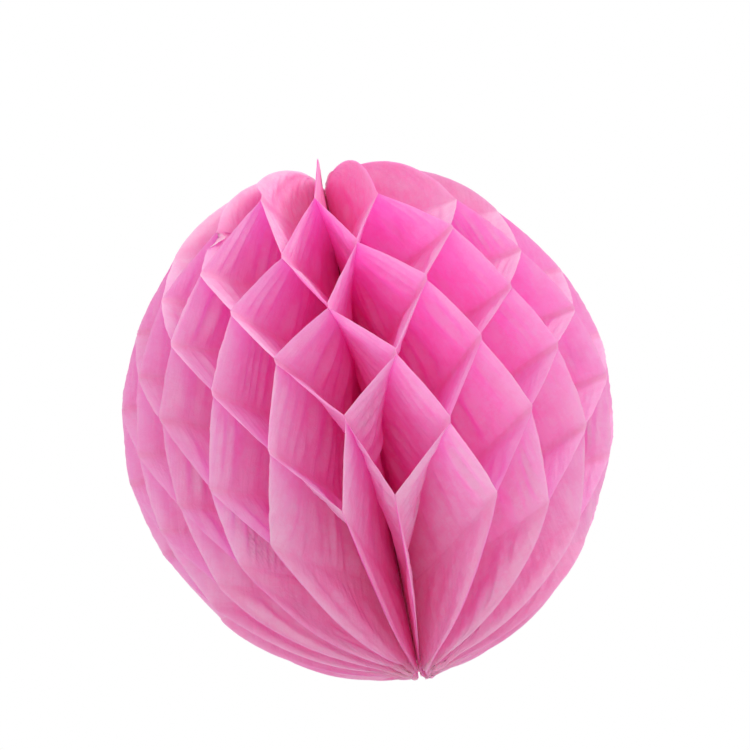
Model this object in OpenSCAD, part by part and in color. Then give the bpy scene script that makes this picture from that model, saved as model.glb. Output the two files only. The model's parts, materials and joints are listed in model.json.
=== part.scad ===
// Paper honeycomb ball, open.
// Half-oval tissue leaves are bound along their straight edges round a thread that runs from
// pole to pole. Each leaf is glued to the next one along level lines, and the glue lines of one
// gap lie halfway between those of the gaps beside it. Fanned out all the way round, the leaves
// zigzag between their glue lines and make the diamond cells of the ball.
// Frame: origin at the middle of the spine, +Z along the spine, millimetres.

/* [Ball] */
// Distance from the middle of the ball to a pole
ball_r = 100; // [90:1:110]
// How much longer than that is half the straight edge of a flat leaf, which is gathered up to it
edge_spare = 3.5; // [0:0.5:6]
// Width of the half oval that every leaf is cut to, at the equator
leaf_w = 98; // [90:0.5:105]
// Fullness of the oval: 2 is an ellipse, and more than 2 has squarer shoulders
oval_power = 2.12; // [2:0.02:2.4]
// How far the rim of an open leaf is drawn in towards the spine at the equator
rim_draw = 2; // [0:0.5:4]

/* [Glue lines] */
// Distance between two neighbouring glue rows on a flat leaf
glue_pitch = 28.5; // [27:0.5:30]
// Clearance between two glued leaves
leaf_gap = 0.1; // [0.06:0.02:0.12]

/* [Tissue] */
// Thickness given to a leaf, more than real tissue has
leaf_t = 0.2; // [0.1:0.02:0.2]

/* [Spine] */
// Diameter of the thread from pole to pole
thread_d = 1; // [0.6:0.1:1]
// Outer diameter of the glue bead that binds the straight edges
binding_d = 4.6; // [4:0.1:4.6]
// Thickness of a knot's ring of thread
knot_ring_d = 1.8; // [1.4:0.1:2]

/* [Closing tabs] */
// Length of a tab along the glue line
tab_length = 12; // [8:1:16]
// Height of a tab across the glue line
tab_height = 8; // [6:1:10]
// Thickness of a tab
tab_t = 0.3; // [0.2:0.05:0.3]

/* [Hidden] */
// Angle that each leaf takes up, from the seam on round, in degrees. They add up to 360.
leaf_swing = concat(
    [8.5, 8, 8, 8, 8, 8, 7.5, 10],
    [11, 10, 9.5, 12, 12, 12, 10, 11.5],
    [for (n = [1 : 4]) each [10.5, 10, 10.5, 10, 10.5]]
);
leaf_count = len(leaf_swing);
seam_angle = -180;
glue_rows = 6;
row_middle = (glue_rows - 1) / 2;
mean_swing = 360 / leaf_count;
degrees_per_radian = 180 / PI;
// Angle of every gap between two leaves: gap 0 is the seam, and gap n follows leaf n.
gap_angle = [
    for (n = 0, a = seam_angle; n <= leaf_count; a = a + (n < leaf_count ? leaf_swing[n] : 0), n = n + 1) a
];

leaf_h = ball_r + edge_spare;
leaf_root_r = binding_d / 2 + 0.2;
leaf_tip_width = 1;
seam_gap = tab_t + 0.1;
// Shares of a leaf's width at which its surface has points, from the root to the rim
width_stops = [0, 0.4, 0.75, 1];
steps_per_row = 4;
steps_per_lobe = 4;
lobe_rows = leaf_h * oval(leaf_root_r + leaf_tip_width, leaf_w) / glue_pitch - row_middle;
// Distance from the spine within which the gathering of the straight edges shows
gathered_r = 30;
// Heights at which a leaf's surface has points, counted in glue rows from the lowest one
row_stops = concat(
    [for (n = [steps_per_lobe : -1 : 1]) -lobe_rows * sin(90 * n / steps_per_lobe)],
    [for (n = [0 : (glue_rows - 1) * steps_per_row]) n / steps_per_row],
    [for (n = [1 : steps_per_lobe]) glue_rows - 1 + lobe_rows * sin(90 * n / steps_per_lobe)]
);
thread_clearance = 0.1;
thread_overhang = 2.4;
binding_half = ball_r - 2;
round_fn = 48;

function leaf_name(n) = str("tissue_leaf_", n < 10 ? "0" : "", n);

function mix(a, b, share) = a + (b - a) * share;

// Which of its two gaps a leaf is glued in at a row: 1 is the gap after it, 0 the gap before it.
function glued_side(leaf, row) = (leaf + row) % 2;

// Where a leaf stands between its two gaps, from 0 to 1, at a height counted in glue rows.
// Past the last glue line the free lobe stays beside the leaf that it was glued to.
function swing_share(leaf, row) = let (
    at = max(0, min(row, glue_rows - 1)),
    below = min(floor(at), glue_rows - 2)
) mix(glued_side(leaf, below), glued_side(leaf, below + 1), at - below);

// Half the thickness of a leaf and of the gap beside it, as an angle at a radius.
function half_gap(gap, r) =
    (leaf_t + (gap % leaf_count == 0 ? seam_gap : leaf_gap)) / 2 / r * degrees_per_radian;

function leaf_angle(leaf, row, r) = mix(
    gap_angle[leaf - 1] + half_gap(leaf - 1, r),
    gap_angle[leaf] - half_gap(leaf, r),
    swing_share(leaf, row)
);

// Share of an oval's half axis that is left at a distance along its other half axis
function oval(along, half_axis) = pow(1 - pow(abs(along) / half_axis, oval_power), 1 / oval_power);

// Width of the flat half oval at a height counted in glue rows.
function flat_rim(row) = leaf_w * oval((row - row_middle) * glue_pitch, leaf_h);

// Opening the fan turns the length of each wall aside, so the rows come closer together: a wall
// of glue_pitch that leans over an arc of one swing rises by the rest.
function rise_share(r) = sqrt(1 - pow(r * mean_swing / degrees_per_radian / glue_pitch, 2));

function open_height(row, r) = let (
    from_middle = row - row_middle,
    in_rows = min(abs(from_middle), row_middle),
    in_lobe = abs(from_middle) - in_rows,
    gathered = edge_spare * in_lobe / lobe_rows * pow(max(0, 1 - r / gathered_r), 2)
) sign(from_middle) * (glue_pitch * (in_rows * rise_share(r) + in_lobe) - gathered);

function open_radius(r) = r - rim_draw * pow(r / leaf_w, 2);

// One point of a leaf's surface, moved aside by half its thickness.
function leaf_point(leaf, row, width_share, aside) = let (
    r = mix(leaf_root_r, flat_rim(row), width_share),
    a = leaf_angle(leaf, row, r),
    out = open_radius(r)
) [
    out * cos(a) - aside * sin(a),
    out * sin(a) + aside * cos(a),
    open_height(row, r)
];

module tissue_leaf(leaf) {
    across = len(width_stops);
    up = len(row_stops);
    side_size = across * up;
    points = [
        for (aside = [-leaf_t / 2, leaf_t / 2])
            for (row = row_stops)
                for (width_share = width_stops)
                    leaf_point(leaf, row, width_share, aside)
    ];
    near = [
        for (i = [0 : up - 2])
            for (j = [0 : across - 2])
                let (a = i * across + j, b = a + 1, c = b + across, d = a + across)
                    each [[a, b, c], [a, c, d]]
    ];
    far = [for (f = near) [f[0] + side_size, f[2] + side_size, f[1] + side_size]];
    outline = concat(
        [for (j = [0 : across - 1]) j],
        [for (i = [1 : up - 1]) i * across + across - 1],
        [for (j = [across - 2 : -1 : 0]) (up - 1) * across + j],
        [for (i = [up - 2 : -1 : 1]) i * across]
    );
    rim = [
        for (i = [0 : len(outline) - 1])
            let (a = outline[i], b = outline[(i + 1) % len(outline)])
                each [[b, a, a + side_size], [b, a + side_size, b + side_size]]
    ];
    color([0.93, 0.47, 0.68]) polyhedron(points, concat(near, far, rim), convexity = 10);
}

module spine_thread() {
    color([0.96, 0.93, 0.94])
        cylinder(h = 2 * (ball_r + thread_overhang), d = thread_d, center = true, $fn = round_fn);
}

module spine_binding() {
    color([0.86, 0.36, 0.58]) difference() {
        cylinder(h = 2 * binding_half, d = binding_d, center = true, $fn = round_fn);
        cylinder(h = 3 * binding_half, d = thread_d + 2 * thread_clearance, center = true, $fn = round_fn);
    }
}

// Two turns of thread drawn tight round the spine thread.
module knot(level) {
    turn_r = thread_d / 2 + thread_clearance + knot_ring_d / 2;
    color([0.96, 0.93, 0.94])
        for (turn = [0, 1])
            translate([0, 0, level + turn * 0.8 * knot_ring_d])
                rotate_extrude($fn = round_fn)
                    translate([turn_r, 0]) circle(d = knot_ring_d, $fn = round_fn);
}

module top_knot() {
    knot(ball_r - 0.6);
}

module bottom_knot() {
    mirror([0, 0, 1]) knot(ball_r - 0.6);
}

// Sticky paper tabs that hold the last leaf to the first one, on the seam's own glue lines.
module closing_tabs() {
    color([0.97, 0.90, 0.93])
        for (row = [1 : 2 : glue_rows - 1]) {
            r_out = open_radius(flat_rim(row)) - tab_length / 2 - 3;
            rotate([0, 0, seam_angle])
                translate([r_out, 0, open_height(row, r_out)])
                    cube([tab_length, tab_t, tab_height], center = true);
        }
}

for (n = [1 : leaf_count])
    tissue_leaf(n);
spine_thread();
spine_binding();
top_knot();
bottom_knot();
closing_tabs();
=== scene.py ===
"""The looks of a paper honeycomb ball: tissue leaves, spine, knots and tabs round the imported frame."""

import json
import math

import bpy
import numpy as np
from mathutils import Matrix, Vector


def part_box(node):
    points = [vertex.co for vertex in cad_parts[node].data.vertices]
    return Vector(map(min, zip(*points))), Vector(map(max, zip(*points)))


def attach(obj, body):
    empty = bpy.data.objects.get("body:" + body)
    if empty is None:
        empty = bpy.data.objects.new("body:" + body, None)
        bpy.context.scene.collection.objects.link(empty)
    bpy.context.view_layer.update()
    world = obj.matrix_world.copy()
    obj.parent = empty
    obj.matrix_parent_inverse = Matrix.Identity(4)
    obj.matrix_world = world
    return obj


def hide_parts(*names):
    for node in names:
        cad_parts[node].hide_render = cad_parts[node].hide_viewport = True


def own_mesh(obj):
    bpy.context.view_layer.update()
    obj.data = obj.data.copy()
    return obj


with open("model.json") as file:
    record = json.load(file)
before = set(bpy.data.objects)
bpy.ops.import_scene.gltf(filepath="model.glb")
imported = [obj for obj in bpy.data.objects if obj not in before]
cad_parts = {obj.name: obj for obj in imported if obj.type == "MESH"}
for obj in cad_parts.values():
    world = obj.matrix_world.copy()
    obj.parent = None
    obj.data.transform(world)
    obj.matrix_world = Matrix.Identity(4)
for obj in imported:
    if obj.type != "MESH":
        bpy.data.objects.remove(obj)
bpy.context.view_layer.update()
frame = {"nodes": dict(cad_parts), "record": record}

# ---------------------------------------------------------------- sizes, in metres and degrees

BALL_R = 0.100          # from the ball's middle to a pole
LEAF_H = 0.1035         # half the height of the half oval that a leaf is cut to
LEAF_W = 0.0980         # width of that half oval at the equator
OVAL_POWER = 2.12       # fullness of that half oval: 2 would be an ellipse
RIM_DRAW = 0.002        # how far the open rim is drawn in at the equator
GATHERED_WITHIN = 0.020  # the straight edge is gathered up to the spine's length, which shows this far out
GATHERED_BELOW = 0.1    # and at the bottom only this share of it, where the paper bulges past the binding
ROOT_R = 0.0025         # where a leaf's straight edge meets the binding
GLUE_PITCH = 0.0285     # from one glue row to the next on a flat leaf
GLUE_ROWS = 6
GLUE_HALF = 0.0011      # half the height of a dried glue line
GLUED_APART = 0.00012   # between two leaves where they are glued
SEAM_APART = 0.00044    # between two leaves at the seam, where a paper tab lies between them
LEAST_APART = 0.00030   # between two leaves anywhere else
RIM_SLACK = 1.002       # how much longer a wall is than a taut one, at the rim
INNER_SLACK = 1.010     # and halfway to the spine
LEAVES = sorted(n for n in frame["nodes"] if n.startswith("tissue_leaf_"))
COUNT = len(LEAVES)
WALL_STEPS = 8
LOBE_STEPS = 12
WIDTH_STEPS = 20
RELAX_ROUNDS = 240
rng = np.random.default_rng(36)


# ---------------------------------------------------------------- camera

VIEW_UNDER = math.radians(22.5)   # the camera looks up at the ball by this much
VIEW_ROLL = math.radians(-11.3)   # the spine leans in the picture by this much
VIEW_DISTANCE = 0.80
RADIUS_IN_FRAME = 0.346           # 0.1 m at the ball's middle, beside the picture's width
RIGHT_OF_MIDDLE = -0.008          # the ball's middle from the picture's middle, beside its width
ABOVE_MIDDLE = -0.058


def aim(thing, target, roll=0.0):
    """Turns a camera or lamp towards a point, and rolls it about its own line of sight."""
    towards = (Vector(target) - thing.location).normalized()
    turned = towards.to_track_quat("-Z", "Y").to_matrix().to_4x4()
    thing.rotation_euler = (turned @ Matrix.Rotation(roll, 4, "Z")).to_euler()


def make_camera():
    data = bpy.data.cameras.new("camera")
    camera = bpy.data.objects.new("camera", data)
    bpy.context.collection.objects.link(camera)
    camera.location = (0, -VIEW_DISTANCE * math.cos(VIEW_UNDER), -VIEW_DISTANCE * math.sin(VIEW_UNDER))
    aim(camera, (0, 0, 0), VIEW_ROLL)
    data.lens = data.sensor_width * RADIUS_IN_FRAME * VIEW_DISTANCE / BALL_R
    data.shift_x = -RIGHT_OF_MIDDLE
    data.shift_y = -ABOVE_MIDDLE
    data.clip_start = 0.01
    bpy.context.scene.camera = camera


make_camera()


# ---------------------------------------------------------------- where the leaves stand

def node_points(name):
    """A CAD node's vertices, in the frame."""
    return np.array([v.co for v in frame["nodes"][name].data.vertices])


def angle_of(points, about=0.0):
    """Angle round the spine, counted from the direction given."""
    turned = (points[..., 0] + 1j * points[..., 1]) * np.exp(-1j * about)
    return np.angle(turned)


def find_gaps():
    """Angle of every gap between two leaves, from the CAD leaves: gap 0 is the seam, gap n follows leaf n. A
    gap lies midway between the edges of the two leaves beside it."""
    starts, ends = [], []
    for name in LEAVES:
        rim = node_points(name)
        rim = rim[np.hypot(rim[:, 0], rim[:, 1]) > 0.6 * BALL_R]
        middle = np.angle(np.mean(rim[:, 0] + 1j * rim[:, 1]))
        beside = angle_of(rim, middle)
        starts.append(middle + beside.min())
        ends.append(middle + beside.max())
    between = (np.array(ends[:-1]) + np.array(starts[1:])) / 2
    return np.concatenate([[-math.pi], between, [math.pi]])


GAPS = find_gaps()
MIDDLES = (GAPS[:-1] + GAPS[1:]) / 2
MIDDLE_STEPS = np.diff(np.append(MIDDLES, MIDDLES[0] + 2 * math.pi))


# ---------------------------------------------------------------- the flat leaf

ROW_MIDDLE = (GLUE_ROWS - 1) / 2
WALL = GLUE_PITCH - 2 * GLUE_HALF


def oval(along, half_axis):
    """Share of an oval's half axis that is left at a distance along its other half axis."""
    return (1 - (np.abs(along) / half_axis) ** OVAL_POWER) ** (1 / OVAL_POWER)


def flat_heights():
    """Heights of the points up a flat leaf, which glue row each belongs to or -1, and the height in rows."""
    tip = LEAF_H * oval(ROOT_R + 0.001, LEAF_W)
    lobe_from = ROW_MIDDLE * GLUE_PITCH + GLUE_HALF
    quarter_turn = math.pi / 2 * np.arange(1, LOBE_STEPS + 1) / LOBE_STEPS
    lobe = list(lobe_from + (tip - lobe_from) * np.sin(quarter_turn))
    heights, rows, at_row = [], [], []
    for m in range(GLUE_ROWS):
        z = (m - ROW_MIDDLE) * GLUE_PITCH
        heights += [z - GLUE_HALF, z, z + GLUE_HALF]
        rows += [m] * 3
        at_row += [m] * 3
        if m < GLUE_ROWS - 1:
            for n in range(1, WALL_STEPS):
                heights.append(z + GLUE_HALF + n / WALL_STEPS * WALL)
                rows.append(-1)
                at_row.append(m + n / WALL_STEPS)
    heights = [-z for z in reversed(lobe)] + heights + lobe
    rows = [-1] * LOBE_STEPS + rows + [-1] * LOBE_STEPS
    at_row = [0] * LOBE_STEPS + at_row + [GLUE_ROWS - 1] * LOBE_STEPS
    return np.array(heights), np.array(rows), np.array(at_row, float)


HEIGHTS, ROW_OF, AT_ROW = flat_heights()
RIM = LEAF_W * oval(HEIGHTS, LEAF_H)
WIDTHS = np.linspace(0, 1, WIDTH_STEPS + 1)
FLAT_R = ROOT_R + (RIM[:, None] - ROOT_R) * WIDTHS[None, :]
FLAT_Z = np.repeat(HEIGHTS[:, None], WIDTH_STEPS + 1, axis=1)


def glued_side(leaf, row):
    """1 if a leaf, counted from 1, is glued in the gap after it at a row, and 0 if in the gap before it."""
    return (leaf + row) % 2


def swing_share(leaf):
    """Where a leaf stands between its two gaps, from 0 to 1, at each height. The free lobe past the last glue
    line stays beside the leaf that it was glued to."""
    low = np.minimum(np.floor(AT_ROW).astype(int), GLUE_ROWS - 2)
    return glued_side(leaf, low) + (glued_side(leaf, low + 1) - glued_side(leaf, low)) * (AT_ROW - low)


def row_rise(r, swing=2 * math.pi / COUNT):
    """From one glue row to the next, once the walls between them lean over the arc of one swing."""
    return 2 * GLUE_HALF + np.sqrt(WALL ** 2 - (r * swing) ** 2)


def open_height():
    """Height of each point of an open leaf."""
    in_stripe = np.where(ROW_OF >= 0, HEIGHTS - (ROW_OF - ROW_MIDDLE) * GLUE_PITCH, 0)
    past_rows = (np.abs(HEIGHTS) - ROW_MIDDLE * GLUE_PITCH).clip(0)
    in_lobe = np.sign(HEIGHTS) * past_rows
    beside = np.where(ROW_OF >= 0, in_stripe, in_lobe)
    gathered = np.sign(HEIGHTS) * (LEAF_H - BALL_R) * past_rows / past_rows.max()
    near_spine = np.clip(1 - FLAT_R / GATHERED_WITHIN, 0, 1) ** 2
    near_spine = near_spine * np.where(HEIGHTS > 0, 1, GATHERED_BELOW)[:, None]
    in_rows = (AT_ROW - ROW_MIDDLE)[:, None] * row_rise(FLAT_R)
    return in_rows + beside[:, None] - gathered[:, None] * near_spine


def first_shape():
    """The leaves fanned open with taut walls, before they are relaxed: leaf, height, width, xyz."""
    shape = np.zeros((COUNT, *FLAT_R.shape, 3))
    height = open_height()
    out = FLAT_R - RIM_DRAW * (FLAT_R / LEAF_W) ** 2
    for n in range(COUNT):
        swing = GAPS[n + 1] - GAPS[n]
        between_glue = 1 - GLUED_APART / (FLAT_R * swing)
        share = 0.5 + (swing_share(n + 1)[:, None] - 0.5) * between_glue
        angle = GAPS[n] + swing * share
        chord = np.cos(swing / 2) / np.cos(swing * (share - 0.5))
        shape[n, ..., 0] = out * chord * np.cos(angle)
        shape[n, ..., 1] = out * chord * np.sin(angle)
        shape[n, ..., 2] = height
    return shape


# ---------------------------------------------------------------- relaxing the paper

NOISE_SCALE = 2.2       # brings the smoothed random values back to about one


def smooth_noise(shape, cells):
    """Random values that change smoothly over the last two axes, with about this many cells each way."""
    count, up, across = shape
    small = rng.standard_normal((count, cells[0] + 3, cells[1] + 3))

    def weights(size, n):
        at = np.linspace(0, n - 1e-6, size)
        k = np.floor(at).astype(int)
        f = at - k
        w = np.zeros((size, n + 3))
        w[np.arange(size), k] = (1 - f) ** 3 / 6
        w[np.arange(size), k + 1] = (3 * f ** 3 - 6 * f ** 2 + 4) / 6
        w[np.arange(size), k + 2] = (-3 * f ** 3 + 3 * f ** 2 + 3 * f + 1) / 6
        w[np.arange(size), k + 3] = f ** 3 / 6
        return w

    return np.einsum("ui,nij,vj->nuv", weights(up, cells[0]), small, weights(across, cells[1])) * NOISE_SCALE


ALL = slice(None)


def ends(size, start):
    """The two ends of every other link along one axis."""
    return slice(start, size - 1, 2), slice(start + 1, size, 2)


def paper_links(up, across):
    """Both ends of the links that hold the paper, in sets in which no point comes twice, with their kinds."""
    links = []
    for start in range(2):
        a, b = ends(up, start)
        links.append(("side", (ALL, a, ALL), (ALL, b, ALL)))
        links.append(("slant", (ALL, a, slice(None, -1)), (ALL, b, slice(1, None))))
        links.append(("slant", (ALL, a, slice(1, None)), (ALL, b, slice(None, -1))))
        a, b = ends(across, start)
        links.append(("side", (ALL, ALL, a), (ALL, ALL, b)))
    return links


def pull(a, b, length, stretch, press):
    """Moves two sets of points along the lines between them, towards the length that the paper has there."""
    way = b - a
    now = np.sqrt((way ** 2).sum(-1))
    off = now - length
    off *= np.where(off > 0, stretch, press) * 0.5 / np.maximum(now, 1e-9)
    way *= off[..., None]
    a += way
    b -= way


# How firmly each kind of link acts when it is too long and when it is too short: tissue gives way when pushed
FIRMNESS = {"side": (0.9, 0.10), "slant": (0.9, 0.08)}


def to_polar(x):
    """Angle of each leaf's points from its own middle, and their distance from the spine."""
    flat = (x[..., 0] + 1j * x[..., 1]) * np.exp(-1j * MIDDLES)[:, None, None]
    return np.angle(flat), np.abs(flat)


def from_polar(x, angle, out):
    flat = out * np.exp(1j * (angle + MIDDLES[:, None, None]))
    x[..., 0], x[..., 1] = flat.real, flat.imag


def keep_order(x, apart):
    """Keeps every leaf between its neighbours, at least this far from them."""
    angle, out = to_polar(x)
    for parity in (0, 1):
        a = np.arange(parity, COUNT, 2)
        b = (a + 1) % COUNT
        room = MIDDLE_STEPS[a][:, None, None] + angle[b] - angle[a]
        least = apart[a] / np.minimum(out[a], out[b])
        short = np.maximum(least - room, 0) / 2
        angle[a] -= short
        angle[b] += short
    from_polar(x, angle, out)


# How far the rim ends of the front's glue lines stand from an even fan: by gap and row, the degrees round and
# the millimetres up
NUDGES = {
    (6, 5): (5, 0), (8, 5): (5.5, 4), (10, 5): (0, -1.5), (12, 5): (-2.5, -3), (14, 5): (1, -3),
    (7, 4): (-1, 4.5), (9, 4): (0, -1.5), (11, 4): (-1, -2), (13, 4): (-0.5, 1.5), (15, 4): (-0.5, -2),
    (6, 3): (-1.5, 3.5), (8, 3): (-1.5, 3.5), (10, 3): (-1, -4.5), (12, 3): (0, 0.5), (14, 3): (-3, -1),
    (16, 3): (-1.5, -1.5),
    (5, 2): (-3.5, 3.5), (7, 2): (0, 0.5), (9, 2): (-5, 3.5), (11, 2): (2, -4.5), (13, 2): (-2, 0),
    (15, 2): (-1.5, 1),
    (6, 1): (-1, -6.5), (8, 1): (-1, -2), (10, 1): (-2.5, 2), (12, 1): (0, -5), (14, 1): (0, 1),
    (16, 1): (1.5, 0.5),
    (7, 0): (-2.5, -1), (9, 0): (0.5, 1.5), (11, 0): (-3.5, 3.5), (13, 0): (3, 1), (15, 0): (0.5, -0.5),
}


def glue_targets():
    """The angle that every glue line has at the rim, and its height where it is held too."""
    angles = np.degrees(GAPS)[:, None] + np.zeros((COUNT + 1, GLUE_ROWS))
    angles[1:COUNT] += rng.normal(0, 0.45, (COUNT - 1, GLUE_ROWS))
    heights = np.full((COUNT + 1, GLUE_ROWS), np.nan)
    rows = np.arange(GLUE_ROWS) - ROW_MIDDLE
    even = rows * row_rise(LEAF_W * oval(rows * GLUE_PITCH, LEAF_H))
    for (gap, row), (degrees, millimetres) in NUDGES.items():
        angles[gap, row] = math.degrees(GAPS[gap]) + degrees
        heights[gap, row] = even[row] + millimetres / 1000
    return np.radians(angles), heights


TARGET_ANGLES, TARGET_HEIGHTS = glue_targets()


def glue_together(x, hold):
    """Brings the two leaves of every glue line together, and holds the line's outer part near its place."""
    for row in range(GLUE_ROWS):
        a = np.arange(row % 2, COUNT, 2)
        b = (a + 1) % COUNT
        rows = np.flatnonzero(ROW_OF == row)
        pa, pb = x[np.ix_(a, rows)], x[np.ix_(b, rows)]
        both = (pa + pb) / 2
        middle = GAPS[a + 1]
        turned = (both[..., 0] + 1j * both[..., 1]) * np.exp(-1j * middle)[:, None, None]
        angle, out = np.angle(turned), np.abs(turned)
        target = (TARGET_ANGLES[a + 1, row] - middle)[:, None, None] * (out / out.max(2, keepdims=True)) ** 2
        angle += (target - angle) * hold * WIDTHS ** 2
        up = TARGET_HEIGHTS[a + 1, row][:, None] + HEIGHTS[rows] - (row - ROW_MIDDLE) * GLUE_PITCH
        lift = np.nan_to_num(up - both[:, :, -1, 2])
        both[..., 2] += lift[..., None] * hold * WIDTHS ** 3
        half = np.where(a + 1 == COUNT, SEAM_APART, GLUED_APART)[:, None, None] / 2 / out
        for leaves, side in ((a, -half), (b, half)):
            placed = out * np.exp(1j * (angle + side + middle[:, None, None]))
            x[np.ix_(leaves, rows)] = np.stack([placed.real, placed.imag, both[..., 2]], -1)


ROOM_AT_GLUE = 0.98             # share of the room between glued leaves that has to stay
ROOM_AT_SPINE = math.radians(4)  # beside the spine the least room is only this much of the way round


def least_room(out, row_of):
    """How far each leaf stays from the next one, at every point."""
    room = np.full((COUNT, *out.shape), LEAST_APART)
    for n in range(COUNT):
        apart = SEAM_APART if n + 1 == COUNT else GLUED_APART
        glued = [i for i, row in enumerate(row_of) if row >= 0 and glued_side(n + 1, row) == 1]
        room[n, glued] = apart * ROOM_AT_GLUE
    return np.minimum(room, out * ROOM_AT_SPINE)


def straighten(x, share):
    """Draws the walls taut between their glue lines, most of all at the rim."""
    walls = np.flatnonzero((ROW_OF < 0) & (np.abs(HEIGHTS) < ROW_MIDDLE * GLUE_PITCH))
    beside = (x[:, walls - 1] + x[:, walls + 1]) / 2
    x[:, walls] += (beside - x[:, walls]) * (share * WIDTHS ** 3)[None, None, :, None]


def gather_lobes(x, share):
    """Brings the two free lobes past a last glue line back beside each other."""
    for row, lobe in ((0, slice(0, LOBE_STEPS)), (GLUE_ROWS - 1, slice(-LOBE_STEPS, None))):
        a = np.arange(row % 2, COUNT, 2)
        b = (a + 1) % COUNT
        apart = (x[b, lobe] - x[a, lobe]) * share / 2
        x[a, lobe] += apart
        x[b, lobe] -= apart


def shake(x):
    """Small smooth swerves of the walls, so that each buckles in its own way."""
    angle, out = to_polar(x)
    free = np.where(ROW_OF >= 0, 0.0, 1.0)[None, :, None]
    swerve = smooth_noise(angle.shape, (18, 8)) * 0.0010 + smooth_noise(angle.shape, (34, 14)) * 0.0004
    from_polar(x, angle + swerve * free * np.minimum(1, FLAT_R / 0.03) / out, out)


# How far each round of relaxing draws the walls taut, brings free lobes together and holds the glue lines
TAUT_SHARE = 0.5
LOBE_SHARE = 0.15
GLUE_HOLD = 0.3


def relax(x):
    """Lets the paper find its shape between its glue lines."""
    depth = np.clip(2 * (1 - FLAT_R / RIM[:, None]), 0, 1)
    slack = RIM_SLACK + (INNER_SLACK - RIM_SLACK) * depth
    flat = np.stack([FLAT_R, FLAT_Z * slack], -1)[None]
    links = []
    for kind, a, b in paper_links(*FLAT_R.shape):
        length = np.sqrt(((flat[a] - flat[b]) ** 2).sum(-1))
        links.append((a, b, length, *FIRMNESS[kind]))
    room = least_room(FLAT_R, ROW_OF)
    root = x[:, :, 0].copy()
    shake(x)
    for _ in range(RELAX_ROUNDS):
        for a, b, length, stretch, press in links:
            pull(x[a], x[b], length, stretch, press)
        straighten(x, TAUT_SHARE)
        gather_lobes(x, LOBE_SHARE)
        glue_together(x, GLUE_HOLD)
        keep_order(x, room)
        x[:, :, 0] = root
    glue_together(x, 0.0)
    return x


# How far the free lobes at the top and at the bottom reach past an even shape, how far some top lobes of the
# front are pulled up, and how many degrees some lobes lean round the spine
TOP_REACH = 0.0020
BOTTOM_REACH = -0.0012
PULLED_UP = {10: 0.0010, 11: 0.0010, 12: -0.0010, 13: -0.0010}
LEANED = {10: 3.2, 11: 3.2}
LEANED_BELOW = {9: 1.5, 10: 1.5, 11: -2.5, 12: -2.5}


def stretch_lobes(x):
    """Lets each free lobe stand a little higher or lower than the even shape, and lean."""
    past = (np.abs(FLAT_Z) - ROW_MIDDLE * GLUE_PITCH).clip(0) / (LEAF_H - ROW_MIDDLE * GLUE_PITCH)
    share = np.sin(past * math.pi / 2) * np.clip(FLAT_R / 0.012, 0, 1)
    angle, out = to_polar(x)
    for n in range(COUNT):
        reach = np.where(FLAT_Z > 0, TOP_REACH + PULLED_UP.get(n + 1, 0), BOTTOM_REACH)
        x[n, ..., 2] += np.sign(FLAT_Z) * reach * share
        lean = np.where(FLAT_Z > 0, LEANED.get(n + 1, 0), LEANED_BELOW.get(n + 1, 0))
        angle[n] += np.radians(lean) * share
    from_polar(x, angle, out)
    return x


# ---------------------------------------------------------------- finer leaves, creases and wrinkles

UP_TIMES = 2
ACROSS_TIMES = 4


def finer(x, times, axis, corners=()):
    """Puts points between the points along one axis, on a smooth curve through them, or on a straight line
    beside a corner."""
    x = np.moveaxis(x, axis, 0)
    ends_too = np.concatenate([2 * x[:1] - x[1:2], x, 2 * x[-1:] - x[-2:-1]])
    count = len(x) - 1
    smooth = np.ones((count,) + (1,) * (x.ndim - 1))
    for corner in corners:
        smooth[max(corner - 1, 0):corner + 1] = 0.25
    between = []
    for n in range(times):
        t = n / times
        weights = (
            -t ** 3 + 2 * t ** 2 - t,
            3 * t ** 3 - 5 * t ** 2 + 2,
            -3 * t ** 3 + 4 * t ** 2 + t,
            t ** 3 - t ** 2,
        )
        curve = sum(w / 2 * ends_too[k:k + count] for k, w in enumerate(weights))
        line = x[:-1] * (1 - t) + x[1:] * t
        between.append(line + (curve - line) * smooth)
    mixed = np.stack(between, 1).reshape(-1, *x.shape[1:])
    return np.moveaxis(np.concatenate([mixed, x[-1:]]), 0, axis)


def fine_rows():
    """The glue row that each row of points of the finer leaf belongs to, or -1."""
    rows = np.full((len(ROW_OF) - 1) * UP_TIMES + 1, -1)
    for n, row in enumerate(ROW_OF):
        if row >= 0:
            rows[n * UP_TIMES] = row
            if n + 1 < len(ROW_OF) and ROW_OF[n + 1] == row:
                rows[n * UP_TIMES:(n + 1) * UP_TIMES] = row
    return rows


CORNERS = np.flatnonzero(ROW_OF >= 0)


def make_finer(x, up_axis):
    return finer(finer(x, UP_TIMES, up_axis, CORNERS), ACROSS_TIMES, up_axis + 1)


FINE = make_finer(np.stack([FLAT_R, FLAT_Z], -1), 0)
FINE_ROWS = fine_rows()


def normals(x):
    n = np.cross(np.gradient(x, axis=2), np.gradient(x, axis=1))
    return n / np.maximum(np.sqrt((n ** 2).sum(-1, keepdims=True)), 1e-12)


def crease(turns):
    """A wave with soft slopes and fairly sharp ridges and furrows."""
    wave = np.sin(2 * math.pi * turns)
    return 0.5 * wave + 0.5 * np.arcsin(0.97 * wave) / 1.32


# A short stretch of one leaf's rim that is folded over
DOG_EAR_LEAF = 7
DOG_EAR_HEIGHT = 0.0640
DOG_EAR_HALF = 0.0062
DOG_EAR_DEPTH = 0.0034
DOG_EAR_TILT = math.radians(50)


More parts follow.
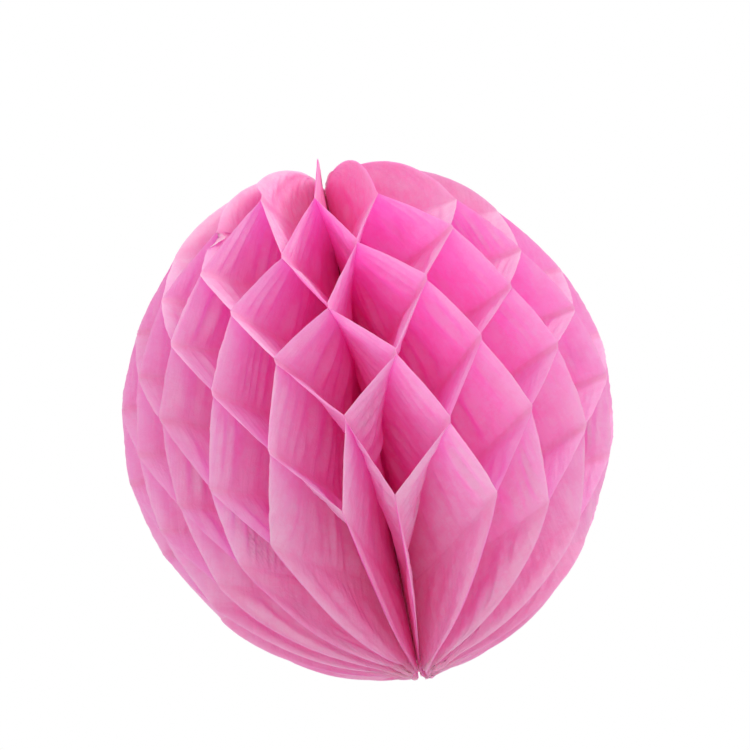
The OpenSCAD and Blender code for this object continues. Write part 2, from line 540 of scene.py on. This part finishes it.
def fold_dog_ear(x):
    """Folds a short stretch of one rim over, onto the side that faces the next leaf."""
    r, z = FINE[..., 0], FINE[..., 1]
    rim = FINE[:, -1:, 0]
    along = (z - DOG_EAR_HEIGHT) / DOG_EAR_HALF
    folded = np.where(along < 0.4, (along + 1) / 1.4, (1 - along) / 0.6).clip(0) * DOG_EAR_DEPTH
    over = np.clip(r - (rim - folded), 0, None)
    leaf = x[DOG_EAR_LEAF - 1]
    outwards = np.gradient(leaf, axis=1) / np.gradient(r, axis=1)[..., None]
    aside = normals(x)[DOG_EAR_LEAF - 1]
    aside *= np.sign((aside * (x[DOG_EAR_LEAF] - leaf)).sum(-1, keepdims=True))
    flap = aside * math.sin(DOG_EAR_TILT) - outwards * (1 + math.cos(DOG_EAR_TILT))
    x[DOG_EAR_LEAF - 1] = leaf + flap * over[..., None]


POLE_GATHERS = 0.0007   # how much the paper is crumpled up beside a pole
POLE_DROOP = 0.0006     # how unevenly the pairs of leaves end there


# Wrinkles that run up and down a wall: metres from one to the next, and height
WRINKLES = ((0.0095, 0.00074), (0.0060, 0.00058))
IN_LOBES = 0.4          # share of their height that they have in the free lobes
WARP = 0.0060           # how far they swerve
DENTS = 0.00022         # depth of the shallow dents


def wrinkle_heights(r, z):
    """How far each point is pushed off its leaf by shallow dents, and by wrinkles that run from glue line to
    glue line."""
    glue_z = (np.arange(GLUE_ROWS) - ROW_MIDDLE) * GLUE_PITCH
    from_glue = np.abs(z[..., None] - glue_z).min(-1)
    free = np.clip((from_glue - GLUE_HALF) / 0.006, 0, 1)
    inner = np.clip((r - 0.006) / 0.02, 0, 1)
    depth = (0.10 + 0.90 * np.clip((r[:, -1:] - r) / 0.012, 0, 1)) * inner
    depth = depth * np.where(np.abs(z) > glue_z[-1], IN_LOBES, 1.0)
    shape = (COUNT, *r.shape)
    warp = smooth_noise(shape, (6, 7)) * WARP
    ridge = np.zeros(shape)
    for length, height in WRINKLES:
        start = rng.uniform(0, 1, (COUNT, 1, 1))
        length = length * rng.uniform(0.75, 1.3, (COUNT, 1, 1))
        strength = np.clip(smooth_noise(shape, (9, 7)) * 0.8 + 0.40, 0, 1.2)
        ridge += height * strength * crease((r + warp) / length + start)
    dents = smooth_noise(shape, (22, 11)) * DENTS * inner
    return (ridge + dents) * depth * free


def gather_at_poles(x, r, z):
    """Crumples the paper up beside the poles, with one shape for the two leaves of each pair."""
    at_pole = np.exp(-(r / 0.013) ** 2) * np.clip((np.abs(z) - 0.084) / 0.010, 0, 1)
    gathers = smooth_noise((COUNT // 2, *r.shape), (70, 14)) * POLE_GATHERS * at_pole
    droop = rng.normal(0, POLE_DROOP, (COUNT // 2, 1, 1)) * np.exp(-((r - 0.008) / 0.005) ** 2)
    lower = gathers + droop * np.clip((np.abs(z) - 0.080) / 0.015, 0, 1)
    n = np.arange(COUNT)
    x[..., 2] += np.where(z > 0, lower[(n + 1) // 2 % (COUNT // 2)], -lower[n // 2])


RAGGED = 0.00008        # unevenness of the cut edge from point to point
UNEVEN = 0.00010        # and its slower unevenness along the edge


def ragged_edge(x, rim):
    """Makes the cut edge a little uneven."""
    ragged = rng.normal(0, RAGGED, (COUNT, len(rim), 1))
    ragged += smooth_noise((COUNT, len(rim), 1), (50, 1)) * UNEVEN
    out_way = x[:, :, -1] - x[:, :, -2]
    out_way /= np.maximum(np.sqrt((out_way ** 2).sum(-1, keepdims=True)), 1e-9)
    x[:, :, -1] += out_way * ragged * np.clip(rim / 0.02, 0, 1)


def wrinkle(x):
    """The finished paper: wrinkles, gathers at the poles, an uneven cut edge and one corner folded over."""
    r, z = FINE[..., 0], FINE[..., 1]
    x = x + normals(x) * wrinkle_heights(r, z)[..., None]
    gather_at_poles(x, r, z)
    keep_order(x, least_room(r, FINE_ROWS))
    ragged_edge(x, r[:, -1:])
    fold_dog_ear(x)
    return x


# ---------------------------------------------------------------- materials

def new_material(name):
    material = bpy.data.materials.new(name)
    material.use_nodes = True
    material.node_tree.nodes.clear()
    return material, material.node_tree


def node(tree, kind, **values):
    """A shader node, with its settings and its inputs' values by name."""
    made = tree.nodes.new(kind)
    for key, value in values.items():
        if hasattr(made, key):
            setattr(made, key, value)
        else:
            made.inputs[key.replace("_", " ")].default_value = value
    return made


def noise(tree, vector, scale, detail=3.0, roughness=0.55):
    made = node(tree, "ShaderNodeTexNoise", Scale=scale, Detail=detail, Roughness=roughness)
    tree.links.new(vector, made.inputs["Vector"])
    return made.outputs["Fac"]


def stretched(tree, vector, scale):
    made = node(tree, "ShaderNodeMapping")
    made.inputs["Scale"].default_value = scale
    tree.links.new(vector, made.inputs["Vector"])
    return made.outputs["Vector"]


def ramp(tree, value, stops):
    """Colours along a value: stops are (position, colour)."""
    made = tree.nodes.new("ShaderNodeValToRGB")
    elements = made.color_ramp.elements
    while len(elements) < len(stops):
        elements.new(0.5)
    for element, (position, colour) in zip(elements, stops):
        element.position = position
        element.color = (*colour, 1)
    tree.links.new(value, made.inputs["Fac"])
    return made.outputs["Color"]


def added(tree, a, b, share):
    made = node(tree, "ShaderNodeMath", operation="MULTIPLY_ADD")
    made.inputs[1].default_value = share
    tree.links.new(b, made.inputs[0])
    tree.links.new(a, made.inputs[2])
    return made.outputs["Value"]


def blended(tree, share, first, second):
    """Mixes two colours."""
    made = tree.nodes.new("ShaderNodeMix")
    made.data_type = "RGBA"
    colours = [socket for socket in made.inputs if socket.type == "RGBA"]
    tree.links.new(share, made.inputs[0])
    for socket, colour in zip(colours, (first, second)):
        tree.links.new(colour, socket)
    return next(socket for socket in made.outputs if socket.type == "RGBA")


# Colours across the tissue's cloudy mottling: the dyed face, a paler colour near the rim that is painted
# light (the light that the outer strip of each wall catches), and the light that comes through
FACE = ((0.70, (0.97, 0.51, 0.83)), (0.95, (0.965, 0.59, 0.88)), (1.20, (0.955, 0.67, 0.92)))
RIM_LIGHT_PAINTED_FACE = ((0.70, (0.94, 0.76, 0.92)), (1.20, (0.96, 0.88, 0.97)))
THROUGH = ((0.70, (0.99, 0.09, 0.58)), (1.20, (0.995, 0.15, 0.66)))
# Share of the painted rim light's colour against the distance from the rim, which is counted in tenths of a
# metre
RIM_LIGHT_PAINTED_SHARE = ((0.007, 1.0), (0.012, 0.65), (0.045, 0.55), (0.10, 0.2), (0.18, 0.0))


def tissue_textures(tree):
    """The tissue's cloudy mottling, and the height of its fine creases and fibres."""
    flat = node(tree, "ShaderNodeUVMap", uv_map="flat").outputs["UV"]
    cloud = noise(tree, flat, 11.0, 5.0, 0.66)
    fibre = noise(tree, stretched(tree, flat, (70.0, 160.0, 1.0)), 1.0, 4.0, 0.7)
    speck = noise(tree, flat, 240.0, 2.0, 0.6)
    furrow = noise(tree, stretched(tree, flat, (30.0, 5.0, 1.0)), 1.0, 2.0, 0.5)
    crumple = noise(tree, flat, 38.0, 3.0, 0.6)
    mottle = added(tree, cloud, fibre, 0.35)
    mottle = added(tree, mottle, crumple, 0.35)
    mottle = added(tree, mottle, speck, 0.2)
    height = added(tree, furrow, crumple, 0.35)
    height = added(tree, height, fibre, 0.12)
    height = added(tree, height, speck, 0.05)
    return mottle, height


LIGHT_THROUGH = 0.43    # share of the light that goes through the tissue


def tissue_material():
    """Thin dyed tissue: matt, with cloudy fibres, fine creases, painted light that makes the rim paler, and
    light coming through it.
    """
    material, tree = new_material("pink_tissue")
    mottle, height = tissue_textures(tree)
    inwards = node(tree, "ShaderNodeUVMap", uv_map="inwards").outputs["UV"]
    split = node(tree, "ShaderNodeSeparateXYZ")
    tree.links.new(inwards, split.inputs["Vector"])
    # Painted light: the colour is blended towards a paler tone near the rim, standing in for the light that
    # the outer strip of each wall catches
    painted_rim_light = ramp(tree, split.outputs["X"], [(place, (share,) * 3) for place, share in RIM_LIGHT_PAINTED_SHARE])
    face = blended(tree, painted_rim_light, ramp(tree, mottle, FACE), ramp(tree, mottle, RIM_LIGHT_PAINTED_FACE))
    bump = node(tree, "ShaderNodeBump", Strength=0.5, Distance=0.0010)
    tree.links.new(height, bump.inputs["Height"])
    paper = node(tree, "ShaderNodeBsdfPrincipled", Roughness=0.9)
    paper.inputs["Specular IOR Level"].default_value = 0.12
    glow = node(tree, "ShaderNodeBsdfTranslucent")
    mix = node(tree, "ShaderNodeMixShader", Fac=LIGHT_THROUGH)
    out = node(tree, "ShaderNodeOutputMaterial")
    tree.links.new(face, paper.inputs["Base Color"])
    tree.links.new(ramp(tree, mottle, THROUGH), glow.inputs["Color"])
    for shader in (paper, glow):
        tree.links.new(bump.outputs["Normal"], shader.inputs["Normal"])
    tree.links.new(paper.outputs["BSDF"], mix.inputs[1])
    tree.links.new(glow.outputs["BSDF"], mix.inputs[2])
    tree.links.new(mix.outputs["Shader"], out.inputs["Surface"])
    return material


def plain_paint(name, dark, light, scale, roughness, bump_height, stretch=(1.0, 1.0, 1.0)):
    """A matt surface with two mottled tones and a fine relief, for thread, glue, tabs and floor."""
    material, tree = new_material(name)
    place = node(tree, "ShaderNodeTexCoord").outputs["Object"]
    grain = noise(tree, stretched(tree, place, stretch), scale, 5.0, 0.6)
    colour = ramp(tree, grain, ((0.3, dark), (0.7, light)))
    bump = node(tree, "ShaderNodeBump", Strength=0.6, Distance=bump_height)
    tree.links.new(grain, bump.inputs["Height"])
    surface = node(tree, "ShaderNodeBsdfPrincipled", Roughness=roughness)
    surface.inputs["Specular IOR Level"].default_value = 0.3
    out = node(tree, "ShaderNodeOutputMaterial")
    tree.links.new(colour, surface.inputs["Base Color"])
    tree.links.new(bump.outputs["Normal"], surface.inputs["Normal"])
    tree.links.new(surface.outputs["BSDF"], out.inputs["Surface"])
    return material


# ---------------------------------------------------------------- pieces

def add_piece(name, points, faces, material, maps=None, smooth=True):
    """A piece from points and faces, with UV maps given by name as a pair of numbers at every point."""
    mesh = bpy.data.meshes.new(name)
    mesh.from_pydata([tuple(p) for p in points], [], faces)
    mesh.materials.append(material)
    corners = np.zeros(len(mesh.loops), int)
    mesh.loops.foreach_get("vertex_index", corners)
    for map_name, uv in (maps or {}).items():
        layer = mesh.uv_layers.new(name=map_name)
        layer.data.foreach_set("uv", uv[corners].astype(np.float32).ravel())
    mesh.polygons.foreach_set("use_smooth", [smooth] * len(mesh.polygons))
    mesh.update()
    piece = bpy.data.objects.new(name, mesh)
    bpy.context.collection.objects.link(piece)
    return piece


def grid_faces(up, across, wrap=False):
    """Four-sided faces of a grid of points, row by row, closed round if wrap."""
    faces = []
    for i in range(up - 1):
        for j in range(across if wrap else across - 1):
            k = (j + 1) % across
            faces.append((i * across + j, i * across + k, (i + 1) * across + k, (i + 1) * across + j))
    return faces


def body_with(node_name):
    return next(b for b, nodes in frame["record"]["behaviour"]["bodies"].items() if node_name in nodes)


def make_leaves(relaxed):
    paper = tissue_material()
    shape = wrinkle(make_finer(stretch_lobes(relaxed.copy()), 1))
    up, across = shape.shape[1:3]
    faces = grid_faces(up, across)
    flat = FINE.reshape(-1, 2) / BALL_R
    # The inwards map carries the distance from the rim, which sets where the painted rim light goes
    inwards = np.stack([FINE[:, -1:, 0] - FINE[..., 0], FINE[..., 0]], -1).reshape(-1, 2) / BALL_R
    for n, name in enumerate(LEAVES):
        maps = {"flat": flat + rng.uniform(-9, 9, 2), "inwards": inwards}
        leaf = add_piece(name + "_paper", shape[n].reshape(-1, 3), faces, paper, maps)
        body = body_with(name)
        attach(leaf, body)
        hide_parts(name)
        flatten_with(leaf)


def flatten_with(piece):
    """Gives a piece a mesh of its own."""
    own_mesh(piece)


def tube(path, radius_at, around, closed=False):
    """Points and faces of a tube along a path. radius_at gives its radius from the angles round it and the
    distances along it."""
    path = np.array(path)
    if closed:
        ahead = np.roll(path, -1, 0) - np.roll(path, 1, 0)
    else:
        ahead = np.gradient(path, axis=0)
    ahead /= np.linalg.norm(ahead, axis=1, keepdims=True)
    side = np.cross(ahead, (0.31, 0.17, 0.93) if abs(ahead[:, 2]).max() < 0.9 else (0.93, 0.31, 0.17))
    side /= np.linalg.norm(side, axis=1, keepdims=True)
    other = np.cross(ahead, side)
    steps = np.linalg.norm(np.diff(path, axis=0), axis=1)
    along = np.concatenate([[0], np.cumsum(steps)])
    angle = np.arange(around) * 2 * math.pi / around
    radius = radius_at(angle[None, :], along[:, None])[..., None]
    across = np.cos(angle)[:, None] * side[:, None] + np.sin(angle)[:, None] * other[:, None]
    rings = path[:, None] + radius * across
    count = len(path)
    faces = grid_faces(count, around, wrap=True)
    if closed:
        last = (count - 1) * around
        faces += [(last + j, last + (j + 1) % around, (j + 1) % around, j) for j in range(around)]
    else:
        faces += [tuple(reversed(range(around))), tuple((count - 1) * around + j for j in range(around))]
    return rings.reshape(-1, 3), faces


THREAD_R = 0.00042
PLIES = 3
PLY_RELIEF = 0.00007
PLY_TURN = 0.0030       # the plies go round once in this length


def thread_radius(angle, along):
    """Radius of a thread laid up from a few plies."""
    return THREAD_R + PLY_RELIEF * np.cos(PLIES * (angle - 2 * math.pi * along / PLY_TURN))


def make_thread(paint):
    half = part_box("spine_thread")[1][2]
    path = [(0, 0, z) for z in np.linspace(-half, half, 520)]
    points, faces = tube(path, thread_radius, 18)
    thread = add_piece("spine_thread_laid", points, faces, paint)
    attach(thread, body_with("spine_thread"))
    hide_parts("spine_thread")


KNOT_LOOP = 0.00058     # size of the loops of a knot
KNOT_RISE = 0.0008      # how far the thread goes up and down in it


def make_knot(name, paint):
    """A small overhand knot drawn up against the leaves."""
    low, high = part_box(name)
    middle = (low[2] + high[2]) / 2
    t = np.linspace(0, 2 * math.pi, 160, endpoint=False)
    path = np.stack([
        KNOT_LOOP * (np.sin(t) + 2 * np.sin(2 * t)),
        KNOT_LOOP * (np.cos(t) - 2 * np.cos(2 * t)),
        middle - KNOT_RISE * np.sin(3 * t),
    ], -1)
    points, faces = tube(path, thread_radius, 14, closed=True)
    knot = add_piece(name + "_tied", points, faces, paint)
    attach(knot, body_with(name))
    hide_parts(name)


BINDING_RINGS = 220
BINDING_SIDES = 144
BINDING_RELIEF = 0.00012  # height of the flutes, and of the lumps of glue
BINDING_INSET = 0.00030   # how far the smooth bead lies inside the CAD one


def make_binding(paint):
    """Glue that has soaked into the straight edges of the leaves: fluted where the edges run, with drips."""
    low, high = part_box("spine_binding")
    outer = high[0]
    lumps = smooth_noise((1, BINDING_RINGS, BINDING_SIDES), (60, 12))[0]

    def radius_at(angle, _):
        relief = BINDING_RELIEF * (np.cos(COUNT * angle) + lumps)
        return np.minimum(outer - BINDING_INSET + relief, outer)

    path = [(0, 0, z) for z in np.linspace(low[2], high[2], BINDING_RINGS)]
    points, faces = tube(path, radius_at, BINDING_SIDES)
    binding = add_piece("spine_binding_glue", points, faces, paint)
    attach(binding, body_with("spine_binding"))
    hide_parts("spine_binding")


TAB_LENGTH = 0.012
TAB_HEIGHT = 0.008
TAB_THICK = 0.00026
TAB_CORNER = 0.0015
TAB_FROM_RIM = 0.003
TAB_WAVE = 0.00004      # how far a tab is from flat


def slab_faces(across, up, first):
    """Faces of a thin slab: two grids of points, counted from the first point, and the edge between them."""
    size = across * up
    sheet = grid_faces(up, across)
    faces = [tuple(first + i for i in f) for f in sheet]
    faces += [tuple(first + size + i for i in reversed(f)) for f in sheet]
    ring = list(range(across))
    ring += [k * across + across - 1 for k in range(1, up)]
    ring += [(up - 1) * across + k for k in range(across - 2, -1, -1)]
    ring += [k * across for k in range(up - 2, 0, -1)]
    for a, b in zip(ring, ring[1:] + ring[:1]):
        faces.append((first + b, first + a, first + size + a, first + size + b))
    return faces


def make_tabs(relaxed, paint):
    """Paper tabs with rounded corners, one on each glue line between the last leaf and the first."""
    across, up = 25, 17
    u = np.linspace(-1, 1, across)[None, :]
    v = np.linspace(-1, 1, up)[:, None]
    nip = np.maximum(0, TAB_CORNER - (1 - np.abs(v)) * TAB_HEIGHT / 2)
    shorter = TAB_CORNER - np.sqrt(np.maximum(TAB_CORNER ** 2 - nip ** 2, 0))
    edge = np.minimum(1, 3 * (1 - np.maximum(np.abs(u), np.abs(v)))) * 0.3 + 0.7
    points, faces = [], []
    for tab, row in enumerate(range(1, GLUE_ROWS, 2)):
        line = relaxed[0, np.flatnonzero(ROW_OF == row)[1]]
        out = np.hypot(line[:, 0], line[:, 1])
        middle = out[-1] - TAB_FROM_RIM - TAB_LENGTH / 2
        r = middle + u * (TAB_LENGTH / 2 - shorter)
        z = np.interp(r, out, line[:, 2]) + v * TAB_HEIGHT / 2
        wave = TAB_WAVE * np.sin(r * 900 + row) * np.cos(z * 500)
        for side in (-1, 1):
            y = wave + side * TAB_THICK / 2 * edge
            points.append(np.stack([-r, y + 0 * r, z], -1).reshape(-1, 3))
        faces += slab_faces(across, up, 2 * across * up * tab)
    tabs = add_piece("closing_tabs_paper", np.concatenate(points), faces, paint)
    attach(tabs, body_with("closing_tabs"))
    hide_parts("closing_tabs")
    flatten_with(tabs)


# The two tones of each plain surface
THREAD_TONES = (0.62, 0.16, 0.32), (0.80, 0.30, 0.48)
GLUE_TONES = (0.34, 0.03, 0.10), (0.62, 0.12, 0.28)
TAB_TONES = (0.84, 0.72, 0.77), (0.90, 0.82, 0.86)
FLOOR_TONES = (0.82, 0.82, 0.82), (0.86, 0.86, 0.86)


def make_ball():
    relaxed = relax(first_shape())
    make_leaves(relaxed)
    thread_paint = plain_paint("pink_thread", *THREAD_TONES, 2600.0, 0.75, 0.0001)
    make_thread(thread_paint)
    make_knot("top_knot", thread_paint)
    make_knot("bottom_knot", thread_paint)
    make_binding(plain_paint("dried_glue", *GLUE_TONES, 420.0, 0.45, 0.0004))
    make_tabs(relaxed, plain_paint("tab_paper", *TAB_TONES, 900.0, 0.8, 0.0001))


make_ball()


# ---------------------------------------------------------------- light and floor

FLOOR_BELOW = 1.5
FLOOR_HALF = 40.0
KEY_PLACE = (0.9, -0.6, 0.8)
KEY_SIZE = 0.5
KEY_WATTS = 6.5
LIGHT_BOUNCES = 24      # the light between the leaves takes many bounces to die down


def area_light(name, place, size, watts):
    data = bpy.data.lights.new(name, "AREA")
    data.shape = "DISK"
    data.size = size
    data.energy = watts
    lamp = bpy.data.objects.new(name, data)
    bpy.context.collection.objects.link(lamp)
    lamp.location = place
    aim(lamp, (0, 0, 0))


def make_surroundings():
    world = bpy.data.worlds.new("white_room")
    world.use_nodes = True
    background = world.node_tree.nodes["Background"]
    background.inputs["Color"].default_value = (1, 1, 1, 1)
    background.inputs["Strength"].default_value = 1.0
    bpy.context.scene.world = world
    bpy.context.scene.view_settings.view_transform = "Standard"
    bpy.context.scene.cycles.diffuse_bounces = LIGHT_BOUNCES
    bpy.context.scene.cycles.max_bounces = LIGHT_BOUNCES
    area_light("key", KEY_PLACE, KEY_SIZE, KEY_WATTS)
    floor_paint = plain_paint("pale_floor", *FLOOR_TONES, 3.0, 0.9, 0.0005)
    signs = ((-1, -1), (1, -1), (1, 1), (-1, 1))
    corners = [(FLOOR_HALF * x, FLOOR_HALF * y, -FLOOR_BELOW) for x, y in signs]
    floor = add_piece("floor", corners, [(0, 1, 2, 3)], floor_paint)


make_surroundings()
